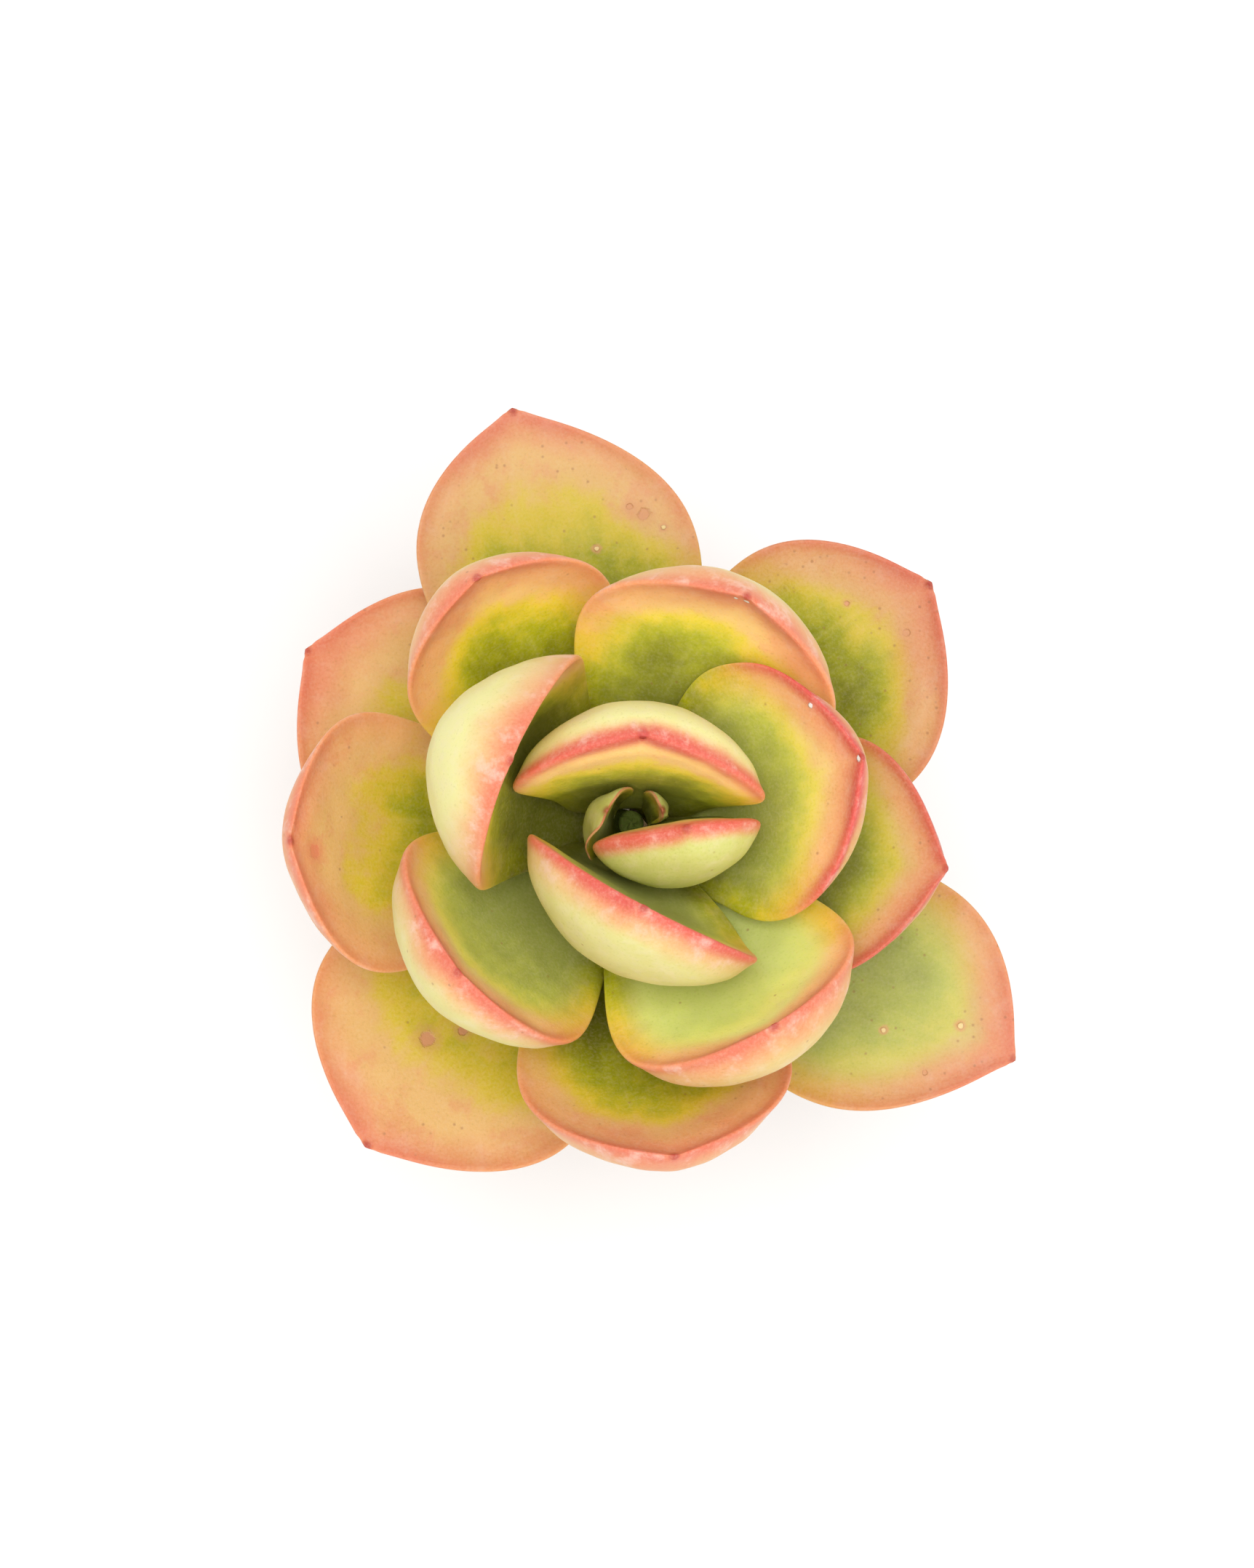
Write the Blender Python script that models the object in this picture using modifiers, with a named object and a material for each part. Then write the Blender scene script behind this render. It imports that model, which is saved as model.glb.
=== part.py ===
import math

import bmesh
import bpy
from mathutils import Vector
from mathutils.bvhtree import BVHTree

MM = 0.001

# A small fleshy rosette on a short stem, rooted in soil in a plain turned pot.
# Origin: the middle of the pot's underside. +Z is up, and +Y points away from the viewer.

# Pot
POT_HEIGHT = 46 * MM
POT_FOOT_RADIUS = 17 * MM
POT_SHOULDER_RADIUS = 22 * MM
POT_WALL = 2.8 * MM
POT_FLOOR = 4 * MM
RIM_RADIUS = 24.5 * MM
RIM_HEIGHT = 10 * MM
RIM_TAPER = 0.6 * MM
DRAIN_RADIUS = 4 * MM
POT_EDGE = 1 * MM

# Soil
SOIL_BELOW_RIM = 6 * MM
SOIL_CROWN = 1.2 * MM
SOIL_EDGE = 0.8 * MM

# Stem
STEM_RADIUS = 3 * MM
STEM_TOP_RADIUS = 1.2 * MM
STEM_ROOTED = 14 * MM
STEM_TIP = 0.5 * MM
PLANT_OFFSET = Vector((-2.7, -4.3, 0)) * MM

# Rosette
LOWEST_LEAF_ABOVE_RIM = 3.5 * MM
LEAF_STEP = 1 * MM
DIVERGENCE = 137.5
FIRST_AZIMUTH = 55
LEAF_POINT = 0.6 * MM
BLUNT_BASE = 0.08
BASE_THICKNESS = 0.45
THICKEST = 0.45
EDGE_FULLNESS = 1.05
TIP_FULLNESS = 0.55
TIP_SHOULDER = 2.5
CUP_GROWTH = 1.5
SKEW_GROWTH = 1.5
LEAF_CREASE = math.radians(50)

# The gap between pieces that touch
FIT = 0.3 * MM

TURNED_STEPS = 48
LEAF_AROUND = 16
LEAF_ALONG = 14
SPINE_STEPS = 200
CORNER_STEPS = 4
STEM_RINGS = 6
PRESS_PASSES = 24
PRESS_GAP = FIT * 1.1
PRESS_REACH = 3 * MM
WAY_OUT = Vector((0.13, 0.21, 0.97))
MOST_CROSSINGS = 20

POT_COLOUR = (0.55, 0.24, 0.13)
SOIL_COLOUR = (0.05, 0.032, 0.02)
STEM_COLOUR = (0.25, 0.2, 0.08)
INNER_LEAF_COLOUR = (0.52, 0.6, 0.22)
OUTER_LEAF_COLOUR = (0.8, 0.42, 0.16)

# A leaf's turn counts from the heart outwards. Its azimuth is that many divergences on, plus its own
# sway, and its base sits one step further down the stem for each turn. Lengths are in MM and angles in
# degrees. rise and tip_rise are the spine's slope above level at the two ends, and bend says how late it
# curves up. cup lifts the edges, puff swells the upper face, roll and skew turn the blade about and aside
# of its spine, and neck, belly, shoulder and taper give the outline: how narrow the base is, where the
# blade is widest, and how it rounds to the tip.
LEAF_FORM = dict(
    bend=1, cup=2, puff=0.3, roll=0, skew=0, neck=0.5, belly=0.62, shoulder=2.3, taper=0.8
)


def leaf(name, turn, sway, length, width, thickness, rise, tip_rise, **form):
    shape = dict(LEAF_FORM, name=name, turn=turn, sway=sway, rise=rise, tip_rise=tip_rise)
    shape.update(form)
    shape.update(length=length * MM, width=width * MM, thickness=thickness * MM)
    shape.update(cup=shape["cup"] * MM, puff=shape["puff"] * MM)
    return shape


LEAVES = (
    leaf("outer_leaf_1", 19, 3, 32.5, 28, 4.5, 5, 15, cup=1.5, skew=-2),
    leaf("outer_leaf_2", 17, 0, 36.5, 31, 4.5, 8, 18, taper=0.75, skew=-3),
    leaf("outer_leaf_3", 16, 5.5, 40, 28.5, 4.5, 8, 15, taper=0.85, skew=9),
    leaf("outer_leaf_4", 15, 8.5, 41.5, 26, 4.5, 10, 15, taper=0.9, skew=8),
    leaf("outer_leaf_5", 14, 4, 35, 25.5, 5, 15, 65, bend=2, belly=0.68, taper=0.7),
    leaf("outer_leaf_6", 13, -5.5, 36.5, 28, 5, 15, 25, skew=4),
    leaf("middle_leaf_1", 12, 10.5, 37.5, 26.5, 5.5, 20, 75, bend=2, belly=0.66),
    leaf("middle_leaf_2", 11, -3.5, 34, 23, 5.5, 20, 85, bend=1.8, puff=0.6, skew=2),
    leaf("middle_leaf_3", 10, 1, 31.5, 24, 5.5, 25, 40, taper=0.9),
    leaf("middle_leaf_4", 9, 8.5, 32, 24.5, 6.5, 25, 90, bend=1.7, puff=0.8),
    leaf("middle_leaf_5", 8, -10, 31.5, 26.5, 6, 30, 85, bend=1.6, puff=0.8, belly=0.6),
    leaf("inner_leaf_1", 7, 2.5, 33, 25, 6.5, 28, 100, bend=2.4, cup=1.5, puff=0.8),
    leaf("inner_leaf_2", 6, -3, 32, 24, 7, 25, 110, cup=3.5, puff=1.2, skew=6),
    leaf("inner_leaf_3", 5, -8.5, 27.5, 25.5, 5.5, 35, 62, cup=2.5, puff=0.6, belly=0.5),
    leaf("inner_leaf_4", 4, 21, 25, 24.5, 6, 42, 102, puff=1.2, roll=-24),
    leaf("heart_leaf_1", 3, -19.5, 22, 23.8, 5, 60, 95, cup=4.5, puff=2.2, skew=5),
    leaf("heart_leaf_2", 2, -12, 16, 16, 4, 58, 105, cup=1, puff=2.2, roll=-40, skew=10),
    leaf("bud_leaf_1", 1, -18, 10.5, 8.5, 1.8, 70, 92, cup=1, puff=0.4, roll=-20),
    leaf("bud_leaf_2", 0, -40, 8, 6, 1.4, 78, 92, cup=0.5, puff=0.3),
)
LAST_TURN = max(shape["turn"] for shape in LEAVES)

LEAF_BASE_HEIGHT = POT_HEIGHT + LOWEST_LEAF_ABOVE_RIM
STEM_TOP = LEAF_BASE_HEIGHT + LAST_TURN * LEAF_STEP + STEM_TIP


def clear_scene():
    for thing in list(bpy.data.objects):
        bpy.data.objects.remove(thing, do_unlink=True)


def finish(thing, colour, roughness):
    material = bpy.data.materials.new(thing.name + "_finish")
    material.use_nodes = True
    shader = material.node_tree.nodes["Principled BSDF"]
    shader.inputs["Base Color"].default_value = (*colour, 1)
    shader.inputs["Roughness"].default_value = roughness
    material.diffuse_color = (*colour, 1)
    thing.data.materials.append(material)


def smoothed(share):
    share = min(max(share, 0), 1)
    return share * share * (3 - 2 * share)


def mixed(low, high, share):
    return low + (high - low) * share


# Turned pieces


def rounded_outline(corners):
    # Each corner is (radius, height, rounding): its rounding becomes an arc that touches both sides.
    points = []
    for index, (radius, height, rounding) in enumerate(corners):
        corner = Vector((radius, 0, height))
        if not rounding:
            points.append(corner)
            continue
        before, after = corners[index - 1], corners[(index + 1) % len(corners)]
        back = (Vector((before[0], 0, before[1])) - corner).normalized()
        ahead = (Vector((after[0], 0, after[1])) - corner).normalized()
        half_angle = back.angle(ahead) / 2
        centre = corner + (back + ahead).normalized() * rounding / math.sin(half_angle)
        start = corner + back * rounding / math.tan(half_angle) - centre
        end = corner + ahead * rounding / math.tan(half_angle) - centre
        for step in range(CORNER_STEPS + 1):
            points.append(centre + start.slerp(end, step / CORNER_STEPS).normalized() * rounding)
    return points


def turned(name, outline, collection, colour, roughness):
    mesh = bpy.data.meshes.new(name)
    sides = [(index, (index + 1) % len(outline)) for index in range(len(outline))]
    on_axis = [point.x == 0 for point in outline]
    sides = [side for side in sides if not (on_axis[side[0]] and on_axis[side[1]])]
    mesh.from_pydata(outline, sides, [])
    thing = bpy.data.objects.new(name, mesh)
    collection.objects.link(thing)
    screw = thing.modifiers.new("turn", "SCREW")
    screw.axis = "Z"
    screw.steps = screw.render_steps = TURNED_STEPS
    screw.use_merge_vertices = True
    screw.merge_threshold = 0.00001
    screw.use_smooth_shade = True
    finish(thing, colour, roughness)
    return thing


def pot_inner_radius(height):
    share = height / (POT_HEIGHT - RIM_HEIGHT)
    return mixed(POT_FOOT_RADIUS, POT_SHOULDER_RADIUS, share) - POT_WALL


def make_pot(collection):
    rim_foot = POT_HEIGHT - RIM_HEIGHT
    corners = (
        (RIM_RADIUS, POT_HEIGHT, POT_EDGE),
        (RIM_RADIUS - RIM_TAPER, rim_foot, POT_EDGE),
        (POT_SHOULDER_RADIUS, rim_foot, POT_EDGE / 2),
        (POT_FOOT_RADIUS, 0, POT_EDGE),
        (DRAIN_RADIUS, 0, POT_EDGE / 2),
        (DRAIN_RADIUS, POT_FLOOR, POT_EDGE / 2),
        (pot_inner_radius(POT_FLOOR), POT_FLOOR, POT_EDGE * 2),
        (pot_inner_radius(POT_HEIGHT), POT_HEIGHT, POT_EDGE),
    )
    return turned("pot", rounded_outline(corners), collection, POT_COLOUR, 0.85)


def stem_radius(height):
    share = (height - LEAF_BASE_HEIGHT) / (STEM_TOP - LEAF_BASE_HEIGHT)
    return mixed(STEM_RADIUS, STEM_TOP_RADIUS, smoothed(share))


def make_soil(collection, cutters):
    top = POT_HEIGHT - SOIL_BELOW_RIM
    bottom = POT_FLOOR + FIT
    corners = (
        (pot_inner_radius(top) - FIT, top, SOIL_EDGE),
        (pot_inner_radius(bottom) - FIT, bottom, POT_EDGE * 2 + FIT),
        (0, bottom, 0),
        (0, top + SOIL_CROWN, 0),
    )
    soil = turned("soil", rounded_outline(corners), collection, SOIL_COLOUR, 0.95)
    socket_radius = STEM_RADIUS + FIT
    socket_depth = STEM_ROOTED + FIT
    corners = (
        (socket_radius, top + SOIL_BELOW_RIM, 0),
        (socket_radius, top - socket_depth, STEM_RADIUS / 3),
        (0, top - socket_depth, 0),
        (0, top + SOIL_BELOW_RIM, 0),
    )
    socket = turned("stem_socket", rounded_outline(corners), cutters, SOIL_COLOUR, 0.95)
    socket.location = PLANT_OFFSET
    socket.hide_render = True
    socket.display_type = "WIRE"
    cut = soil.modifiers.new("socket", "BOOLEAN")
    cut.operation = "DIFFERENCE"
    cut.object = socket
    return soil


def make_stem(collection):
    top = POT_HEIGHT - SOIL_BELOW_RIM
    corners = [(0, STEM_TOP + STEM_TOP_RADIUS / 2, 0)]
    for step in range(STEM_RINGS, -1, -1):
        height = mixed(LEAF_BASE_HEIGHT, STEM_TOP, step / STEM_RINGS)
        corners.append((stem_radius(height), height, 0))
    corners += [(STEM_RADIUS, top - STEM_ROOTED, STEM_RADIUS / 3), (0, top - STEM_ROOTED, 0)]
    stem = turned("stem", rounded_outline(corners), collection, STEM_COLOUR, 0.8)
    stem.location = PLANT_OFFSET
    return stem


# Leaves


def outline_share(shape, along):
    blunt = math.sqrt(1 - (1 - min(along / BLUNT_BASE, 1)) ** 2)
    widening = mixed(shape["neck"], 1, smoothed(along / shape["belly"]))
    past_belly = max(along - shape["belly"], 0) / (1 - shape["belly"])
    return blunt * widening * (1 - past_belly ** shape["shoulder"]) ** shape["taper"]


def thickness_share(along):
    blunt = math.sqrt(1 - (1 - min(along / BLUNT_BASE, 1)) ** 2)
    thickening = mixed(BASE_THICKNESS, 1, smoothed(along / THICKEST))
    past_thickest = max(along - THICKEST, 0) / (1 - THICKEST)
    return blunt * thickening * (1 - past_thickest**TIP_SHOULDER) ** TIP_FULLNESS


def leaf_azimuth(shape):
    return math.radians(FIRST_AZIMUTH + shape["turn"] * DIVERGENCE + shape["sway"])


def leaf_base_height(shape):
    return LEAF_BASE_HEIGHT + (LAST_TURN - shape["turn"]) * LEAF_STEP


def spine_of(shape):
    # The spine's points as (along, reach, height, slope), reach and height counted from the leaf's base.
    reach = height = 0
    points = [(0, 0, 0, math.radians(shape["rise"]))]
    for step in range(SPINE_STEPS):
        middle = ((step + 0.5) / SPINE_STEPS) ** shape["bend"]
        slope = math.radians(mixed(shape["rise"], shape["tip_rise"], middle))
        reach += math.cos(slope) * shape["length"] / SPINE_STEPS
        height += math.sin(slope) * shape["length"] / SPINE_STEPS
        along = (step + 1) / SPINE_STEPS
        end_slope = math.radians(mixed(shape["rise"], shape["tip_rise"], along ** shape["bend"]))
        points.append((along, reach, height, end_slope))
    return points


def on_spine(spine, along):
    place = along * SPINE_STEPS
    low = min(int(place), SPINE_STEPS - 1)
    return [mixed(a, b, place - low) for a, b in zip(spine[low][1:], spine[low + 1][1:])]


def leaf_point(shape, spine, along, angle):
    # angle runs round the blade: 0 and pi are its two edges, and the upper face lies between them.
    azimuth = leaf_azimuth(shape)
    outward = Vector((math.cos(azimuth), math.sin(azimuth), 0))
    aside = Vector((-math.sin(azimuth), math.cos(azimuth), 0))
    up = Vector((0, 0, 1))
    reach, height, slope = on_spine(spine, along)
    normal = up * math.cos(slope) - outward * math.sin(slope)
    roll = math.radians(shape["roll"]) * min(1, 2 * along)  # fully rolled from halfway along
    across = aside * math.cos(roll) + normal * math.sin(roll)
    normal = normal * math.cos(roll) - aside * math.sin(roll)
    swing = math.radians(shape["skew"]) * along**SKEW_GROWTH
    drift = shape["length"] * math.sin(swing) * along / 2
    base_height = leaf_base_height(shape)
    centre = PLANT_OFFSET + outward * (stem_radius(base_height) + FIT + reach) + aside * drift
    centre += up * (base_height + height)
    if along == 1:
        return centre + (outward * math.cos(slope) + up * math.sin(slope)) * LEAF_POINT
    widest = outline_share(shape, along)
    side, face = math.cos(angle), math.sin(angle)
    depth = shape["cup"] * widest**CUP_GROWTH * side**2
    if face > 0:
        depth += shape["puff"] * thickness_share(along) * face**EDGE_FULLNESS
    else:
        depth -= shape["thickness"] * thickness_share(along) * abs(face) ** EDGE_FULLNESS
    return centre + across * (shape["width"] / 2 * widest * side) + normal * depth


def is_inside(tree, point):
    # A point is inside a closed surface when a straight way out crosses it an odd number of times.
    crossings = 0
    start = point
    while crossings < MOST_CROSSINGS:
        hit = tree.ray_cast(start, WAY_OUT)[0]
        if hit is None:
            break
        crossings += 1
        start = hit + WAY_OUT * 0.01 * MM
    return crossings % 2 == 1


def push_from(tree, point):
    # The move that takes a point out to the gap from a closed surface, or None if it is clear already.
    near, normal, face, distance = tree.find_nearest(point, PRESS_REACH)
    if near is None:
        return None, face
    away = point - near
    if away.dot(normal) < 0 and is_inside(tree, point):
        return -away - away.normalized() * PRESS_GAP, face
    if distance >= PRESS_GAP:
        return None, face
    return away.normalized() * (PRESS_GAP - distance), face


def within(point, low, high):
    return all(low[k] - PRESS_GAP < point[k] < high[k] + PRESS_GAP for k in range(3))


def boxes_apart(low, high, other_low, other_high):
    gaps = [max(low[k] - other_high[k], other_low[k] - high[k]) for k in range(3)]
    return max(gaps) > PRESS_GAP


def keep_longest(moves, vertices, move):
    for vertex in vertices:
        if vertex not in moves or move.length > moves[vertex].length:
            moves[vertex] = move


def make_room(body, placed):
    # A leaf's faces give way to the pieces placed before it, where the two would touch.
    probes = [[vertex] for vertex in body.verts]
    probes += [list(edge.verts) for edge in body.edges] + [list(face.verts) for face in body.faces]
    body.faces.ensure_lookup_table()
    for _ in range(PRESS_PASSES):
        moved = False
        for tree, their_low, their_high, samples in placed:
            low, high = bounds_of([vertex.co for vertex in body.verts])
            if boxes_apart(low, high, their_low, their_high):
                continue
            moves = {}
            for vertices in probes:
                point = sum((vertex.co for vertex in vertices), Vector()) / len(vertices)
                if within(point, their_low, their_high):
                    move, face = push_from(tree, point)
                    if move is not None:
                        keep_longest(moves, vertices, move)
            own = BVHTree.FromBMesh(body)
            for sample in samples:
                if within(sample, low, high):
                    move, face = push_from(own, sample)
                    if move is not None:
                        keep_longest(moves, body.faces[face].verts, -move)
            for vertex, move in moves.items():
                vertex.co += move
                moved = True
        if not moved:
            return


def bounds_of(points):
    low = [min(point[k] for point in points) for k in range(3)]
    high = [max(point[k] for point in points) for k in range(3)]
    return low, high


def as_obstacle(thing):
    graph = bpy.context.evaluated_depsgraph_get()
    body = bmesh.new()
    body.from_object(thing, graph)
    body.transform(thing.matrix_world)
    samples = [vertex.co.copy() for vertex in body.verts]
    samples += [(edge.verts[0].co + edge.verts[1].co) / 2 for edge in body.edges]
    samples += [face.calc_center_median() for face in body.faces]
    tree = BVHTree.FromBMesh(body)
    body.free()
    return (tree, *bounds_of(samples), samples)


def make_leaf(shape, placed, collection):
    spine = spine_of(shape)
    body = bmesh.new()
    bmesh.ops.create_uvsphere(body, u_segments=LEAF_AROUND, v_segments=LEAF_ALONG, radius=1)
    for vertex in body.verts:
        along = (1 - vertex.co.z) / 2
        along = round(along, 6)
        angle = math.atan2(vertex.co.y, vertex.co.x)
        vertex.co = leaf_point(shape, spine, along, angle)
    bmesh.ops.recalc_face_normals(body, faces=body.faces)
    make_room(body, placed)
    mesh = bpy.data.meshes.new(shape["name"])
    body.to_mesh(mesh)
    body.free()
    mesh.shade_smooth()
    mesh.set_sharp_from_angle(angle=LEAF_CREASE)
    thing = bpy.data.objects.new(shape["name"], mesh)
    collection.objects.link(thing)
    share = shape["turn"] / LAST_TURN
    colour = [mixed(low, high, share) for low, high in zip(INNER_LEAF_COLOUR, OUTER_LEAF_COLOUR)]
    finish(thing, colour, 0.45)
    return thing


def main():
    clear_scene()
    collection = bpy.data.collections.new("potted_succulent")
    bpy.context.scene.collection.children.link(collection)
    cutters = bpy.data.collections.new("cutters")
    bpy.context.scene.collection.children.link(cutters)
    pot = make_pot(collection)
    soil = make_soil(collection, cutters)
    stem = make_stem(collection)
    bpy.context.view_layer.update()
    placed = [as_obstacle(pot), as_obstacle(soil), as_obstacle(stem)]
    for shape in LEAVES:
        thing = make_leaf(shape, placed, collection)
        bpy.context.view_layer.update()
        placed.append(as_obstacle(thing))


main()
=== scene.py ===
import math
import random

import bmesh
import bpy
import numpy as np
from mathutils import Matrix, Vector, kdtree, noise


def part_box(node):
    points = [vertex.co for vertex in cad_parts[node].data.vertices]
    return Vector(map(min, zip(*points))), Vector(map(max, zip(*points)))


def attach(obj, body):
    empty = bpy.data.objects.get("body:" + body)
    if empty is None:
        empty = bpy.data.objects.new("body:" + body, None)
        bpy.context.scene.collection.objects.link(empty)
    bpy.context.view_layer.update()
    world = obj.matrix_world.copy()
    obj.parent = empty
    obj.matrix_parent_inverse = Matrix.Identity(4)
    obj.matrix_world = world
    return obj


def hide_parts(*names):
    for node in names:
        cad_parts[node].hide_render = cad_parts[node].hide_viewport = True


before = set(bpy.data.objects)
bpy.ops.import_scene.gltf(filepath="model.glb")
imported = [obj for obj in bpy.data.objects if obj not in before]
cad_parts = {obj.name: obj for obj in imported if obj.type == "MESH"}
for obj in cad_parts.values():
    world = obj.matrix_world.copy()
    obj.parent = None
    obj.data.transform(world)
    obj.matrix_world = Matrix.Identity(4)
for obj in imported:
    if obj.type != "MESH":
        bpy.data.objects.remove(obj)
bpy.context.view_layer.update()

mm = 0.001
random.seed(7)


# small helpers

def deselectAll():
    if bpy.context.mode != "OBJECT":
        bpy.ops.object.mode_set(mode="OBJECT")
    bpy.ops.object.select_all(action="DESELECT")


def makeActive(piece):
    deselectAll()
    piece.select_set(True)
    bpy.context.view_layer.objects.active = piece


def applyModifier(piece, kind, **settings):
    makeActive(piece)
    modifier = piece.modifiers.new(kind.lower(), kind)
    for name, value in settings.items():
        setattr(modifier, name, value)
    bpy.ops.object.modifier_apply(modifier=modifier.name)


def readPoints(mesh):
    points = np.empty(len(mesh.vertices) * 3, np.float32)
    mesh.vertices.foreach_get("co", points)
    return points.reshape(-1, 3)


def writePoints(mesh, points):
    mesh.vertices.foreach_set("co", np.ascontiguousarray(points, np.float32).reshape(-1))
    mesh.update()


def readNormals(mesh):
    normals = np.empty(len(mesh.vertices) * 3, np.float32)
    mesh.vertex_normals.foreach_get("vector", normals)
    return normals.reshape(-1, 3)


def fade(low, high, values):
    share = np.clip((values - low) / (high - low), 0, 1)
    return share * share * (3 - 2 * share)


def noiseAt(points, size, offset):
    # smooth noise of about the given size, one value a point
    return np.array([noise.noise(Vector(point) / size + offset) for point in points.tolist()])


# shader helpers: a value may be a socket or a plain number

def feed(tree, socket, value):
    if isinstance(value, bpy.types.NodeSocket):
        tree.links.new(value, socket)
    else:
        socket.default_value = value


def total(tree, first, *others):
    # all the values added together
    for other in others:
        first = calculate(tree, "ADD", first, other)
    return first


def product(tree, first, *others):
    # all the values multiplied together
    for other in others:
        first = calculate(tree, "MULTIPLY", first, other)
    return first


def calculate(tree, operation, first, second):
    node = tree.nodes.new("ShaderNodeMath")
    node.operation = operation
    feed(tree, node.inputs[0], first)
    feed(tree, node.inputs[1], second)
    return node.outputs[0]


def between(tree, value, low, high, outLow=0.0, outHigh=1.0):
    node = tree.nodes.new("ShaderNodeMapRange")
    node.interpolation_type = "SMOOTHSTEP"
    for socket, number in zip(node.inputs, (value, low, high, outLow, outHigh)):
        feed(tree, socket, number)
    return node.outputs[0]


def blendColour(tree, share, first, second, kind="MIX"):
    node = tree.nodes.new("ShaderNodeMix")
    node.data_type = "RGBA"
    node.blend_type = kind
    feed(tree, node.inputs["Factor"], share)
    for socket, colour in ((node.inputs[6], first), (node.inputs[7], second)):
        feed(tree, socket, (*colour, 1) if isinstance(colour, tuple) else colour)
    return node.outputs[2]


def noiseNode(tree, vector, size, detail=2.0, roughness=0.5, stretch=None):
    # size is in metres on the piece
    if stretch:
        mapping = tree.nodes.new("ShaderNodeMapping")
        mapping.inputs["Scale"].default_value = stretch
        feed(tree, mapping.inputs["Vector"], vector)
        vector = mapping.outputs[0]
    node = tree.nodes.new("ShaderNodeTexNoise")
    feed(tree, node.inputs["Vector"], vector)
    node.inputs["Scale"].default_value = 1 / size
    node.inputs["Detail"].default_value = detail
    node.inputs["Roughness"].default_value = roughness
    return node.outputs["Fac"]


def cellNode(tree, vector, size):
    node = tree.nodes.new("ShaderNodeTexVoronoi")
    feed(tree, node.inputs["Vector"], vector)
    node.inputs["Scale"].default_value = 1 / size
    return node.outputs["Distance"], node.outputs["Color"]


def attribute(tree, name):
    node = tree.nodes.new("ShaderNodeAttribute")
    node.attribute_name = name
    return node.outputs["Fac"]


def newGroup(name, inputs, outputs):
    group = bpy.data.node_groups.new(name, "ShaderNodeTree")
    for inOut, sockets in (("INPUT", inputs), ("OUTPUT", outputs)):
        for label, kind in sockets:
            group.interface.new_socket(label, in_out=inOut, socket_type="NodeSocket" + kind)
    return group, group.nodes.new("NodeGroupInput"), group.nodes.new("NodeGroupOutput")


def placeGroup(tree, group, values):
    node = tree.nodes.new("ShaderNodeGroup")
    node.node_tree = group
    for name, value in values.items():
        socket = node.inputs[name]
        isColour = socket.type == "RGBA" and isinstance(value, tuple)
        feed(tree, socket, (*value, 1) if isColour else value)
    return node


def newMaterial(name, shaderValues):
    material = bpy.data.materials.new(name)
    material.use_nodes = True
    tree = material.node_tree
    shader = tree.nodes["Principled BSDF"]
    for label, value in shaderValues.items():
        shader.inputs[label].default_value = value
    coordinates = tree.nodes.new("ShaderNodeTexCoord").outputs["Object"]
    return material, tree, shader, coordinates


def addBump(tree, shader, height, distance, strength=1.0):
    bump = tree.nodes.new("ShaderNodeBump")
    bump.inputs["Distance"].default_value = distance
    bump.inputs["Strength"].default_value = strength
    feed(tree, bump.inputs["Height"], height)
    tree.links.new(bump.outputs[0], shader.inputs["Normal"])


def putOn(piece, material, slot, *replaced):
    # the piece's one material, its body and the solids that it stands for; slot is not used
    piece.data.materials.clear()
    piece.data.materials.append(material)
    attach(piece, "root")
    if replaced:
        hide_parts(*replaced)


# places that everything follows

stemLow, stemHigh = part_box("stem")
potLow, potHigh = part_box("pot")
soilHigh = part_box("soil")[1]
heart = Vector(((stemLow.x + stemHigh.x) / 2, (stemLow.y + stemHigh.y) / 2, stemHigh.z))


# camera: nearly overhead, leaning a little to the near left

cameraSetup = {
    "back": (-0.10, -0.10, 1.0), "distance": 0.300,
    "lens": 71.15, "sensorWidth": 36, "clipStart": 0.01,
    "aimFromHeart": (0.33 * mm, 4.40 * mm, -7.6 * mm),
}


def makeCamera():
    back = Vector(cameraSetup["back"]).normalized()
    right = Vector((0, 1, 0)).cross(back).normalized()
    up = back.cross(right)
    aim = heart + Vector(cameraSetup["aimFromHeart"])
    camera = bpy.data.objects.new("camera", bpy.data.cameras.new("camera"))
    bpy.context.scene.collection.objects.link(camera)
    turn = Matrix((right, up, back)).transposed().to_4x4()
    camera.matrix_world = Matrix.Translation(aim + back * cameraSetup["distance"]) @ turn
    camera.data.lens = cameraSetup["lens"]
    camera.data.sensor_width = cameraSetup["sensorWidth"]
    camera.data.clip_start = cameraSetup["clipStart"]
    bpy.context.scene.camera = camera


makeCamera()
print("camera placed")


# leaves: each keeps the cage of its own solid, smoothed and given its edge, point and skin

# around, rings and merge follow the solids: another value can't read them
leafCage = {"around": 16, "rings": 14, "merge": 0.0005 * mm, "smoothing": 3, "edgeCrease": 0.25,
            "creaseFrom": 0.25}

# edgeFrom and edgeFull are how far along the leaf its margin begins and is full
leafRelief = {
    "ridge": 0.09 * mm, "ridgeWidth": 0.5 * mm,
    "groove": 0.07 * mm, "grooveAt": 1.5 * mm, "grooveWidth": 0.8 * mm,
    "edgeFrom": 0.45, "edgeFull": 0.75,
    "point": 0.10 * mm, "pointWidth": 0.7 * mm, "pointBack": 2 * mm, "pointSamples": 40,
    "swell": 0.45 * mm, "swellSize": 9 * mm, "swellInside": 3 * mm,
    "swellFrom": 0.1, "swellFull": 0.3,
    "ripple": 0.10 * mm, "rippleSize": 2.6 * mm, "rippleInside": 1 * mm,
}


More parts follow.
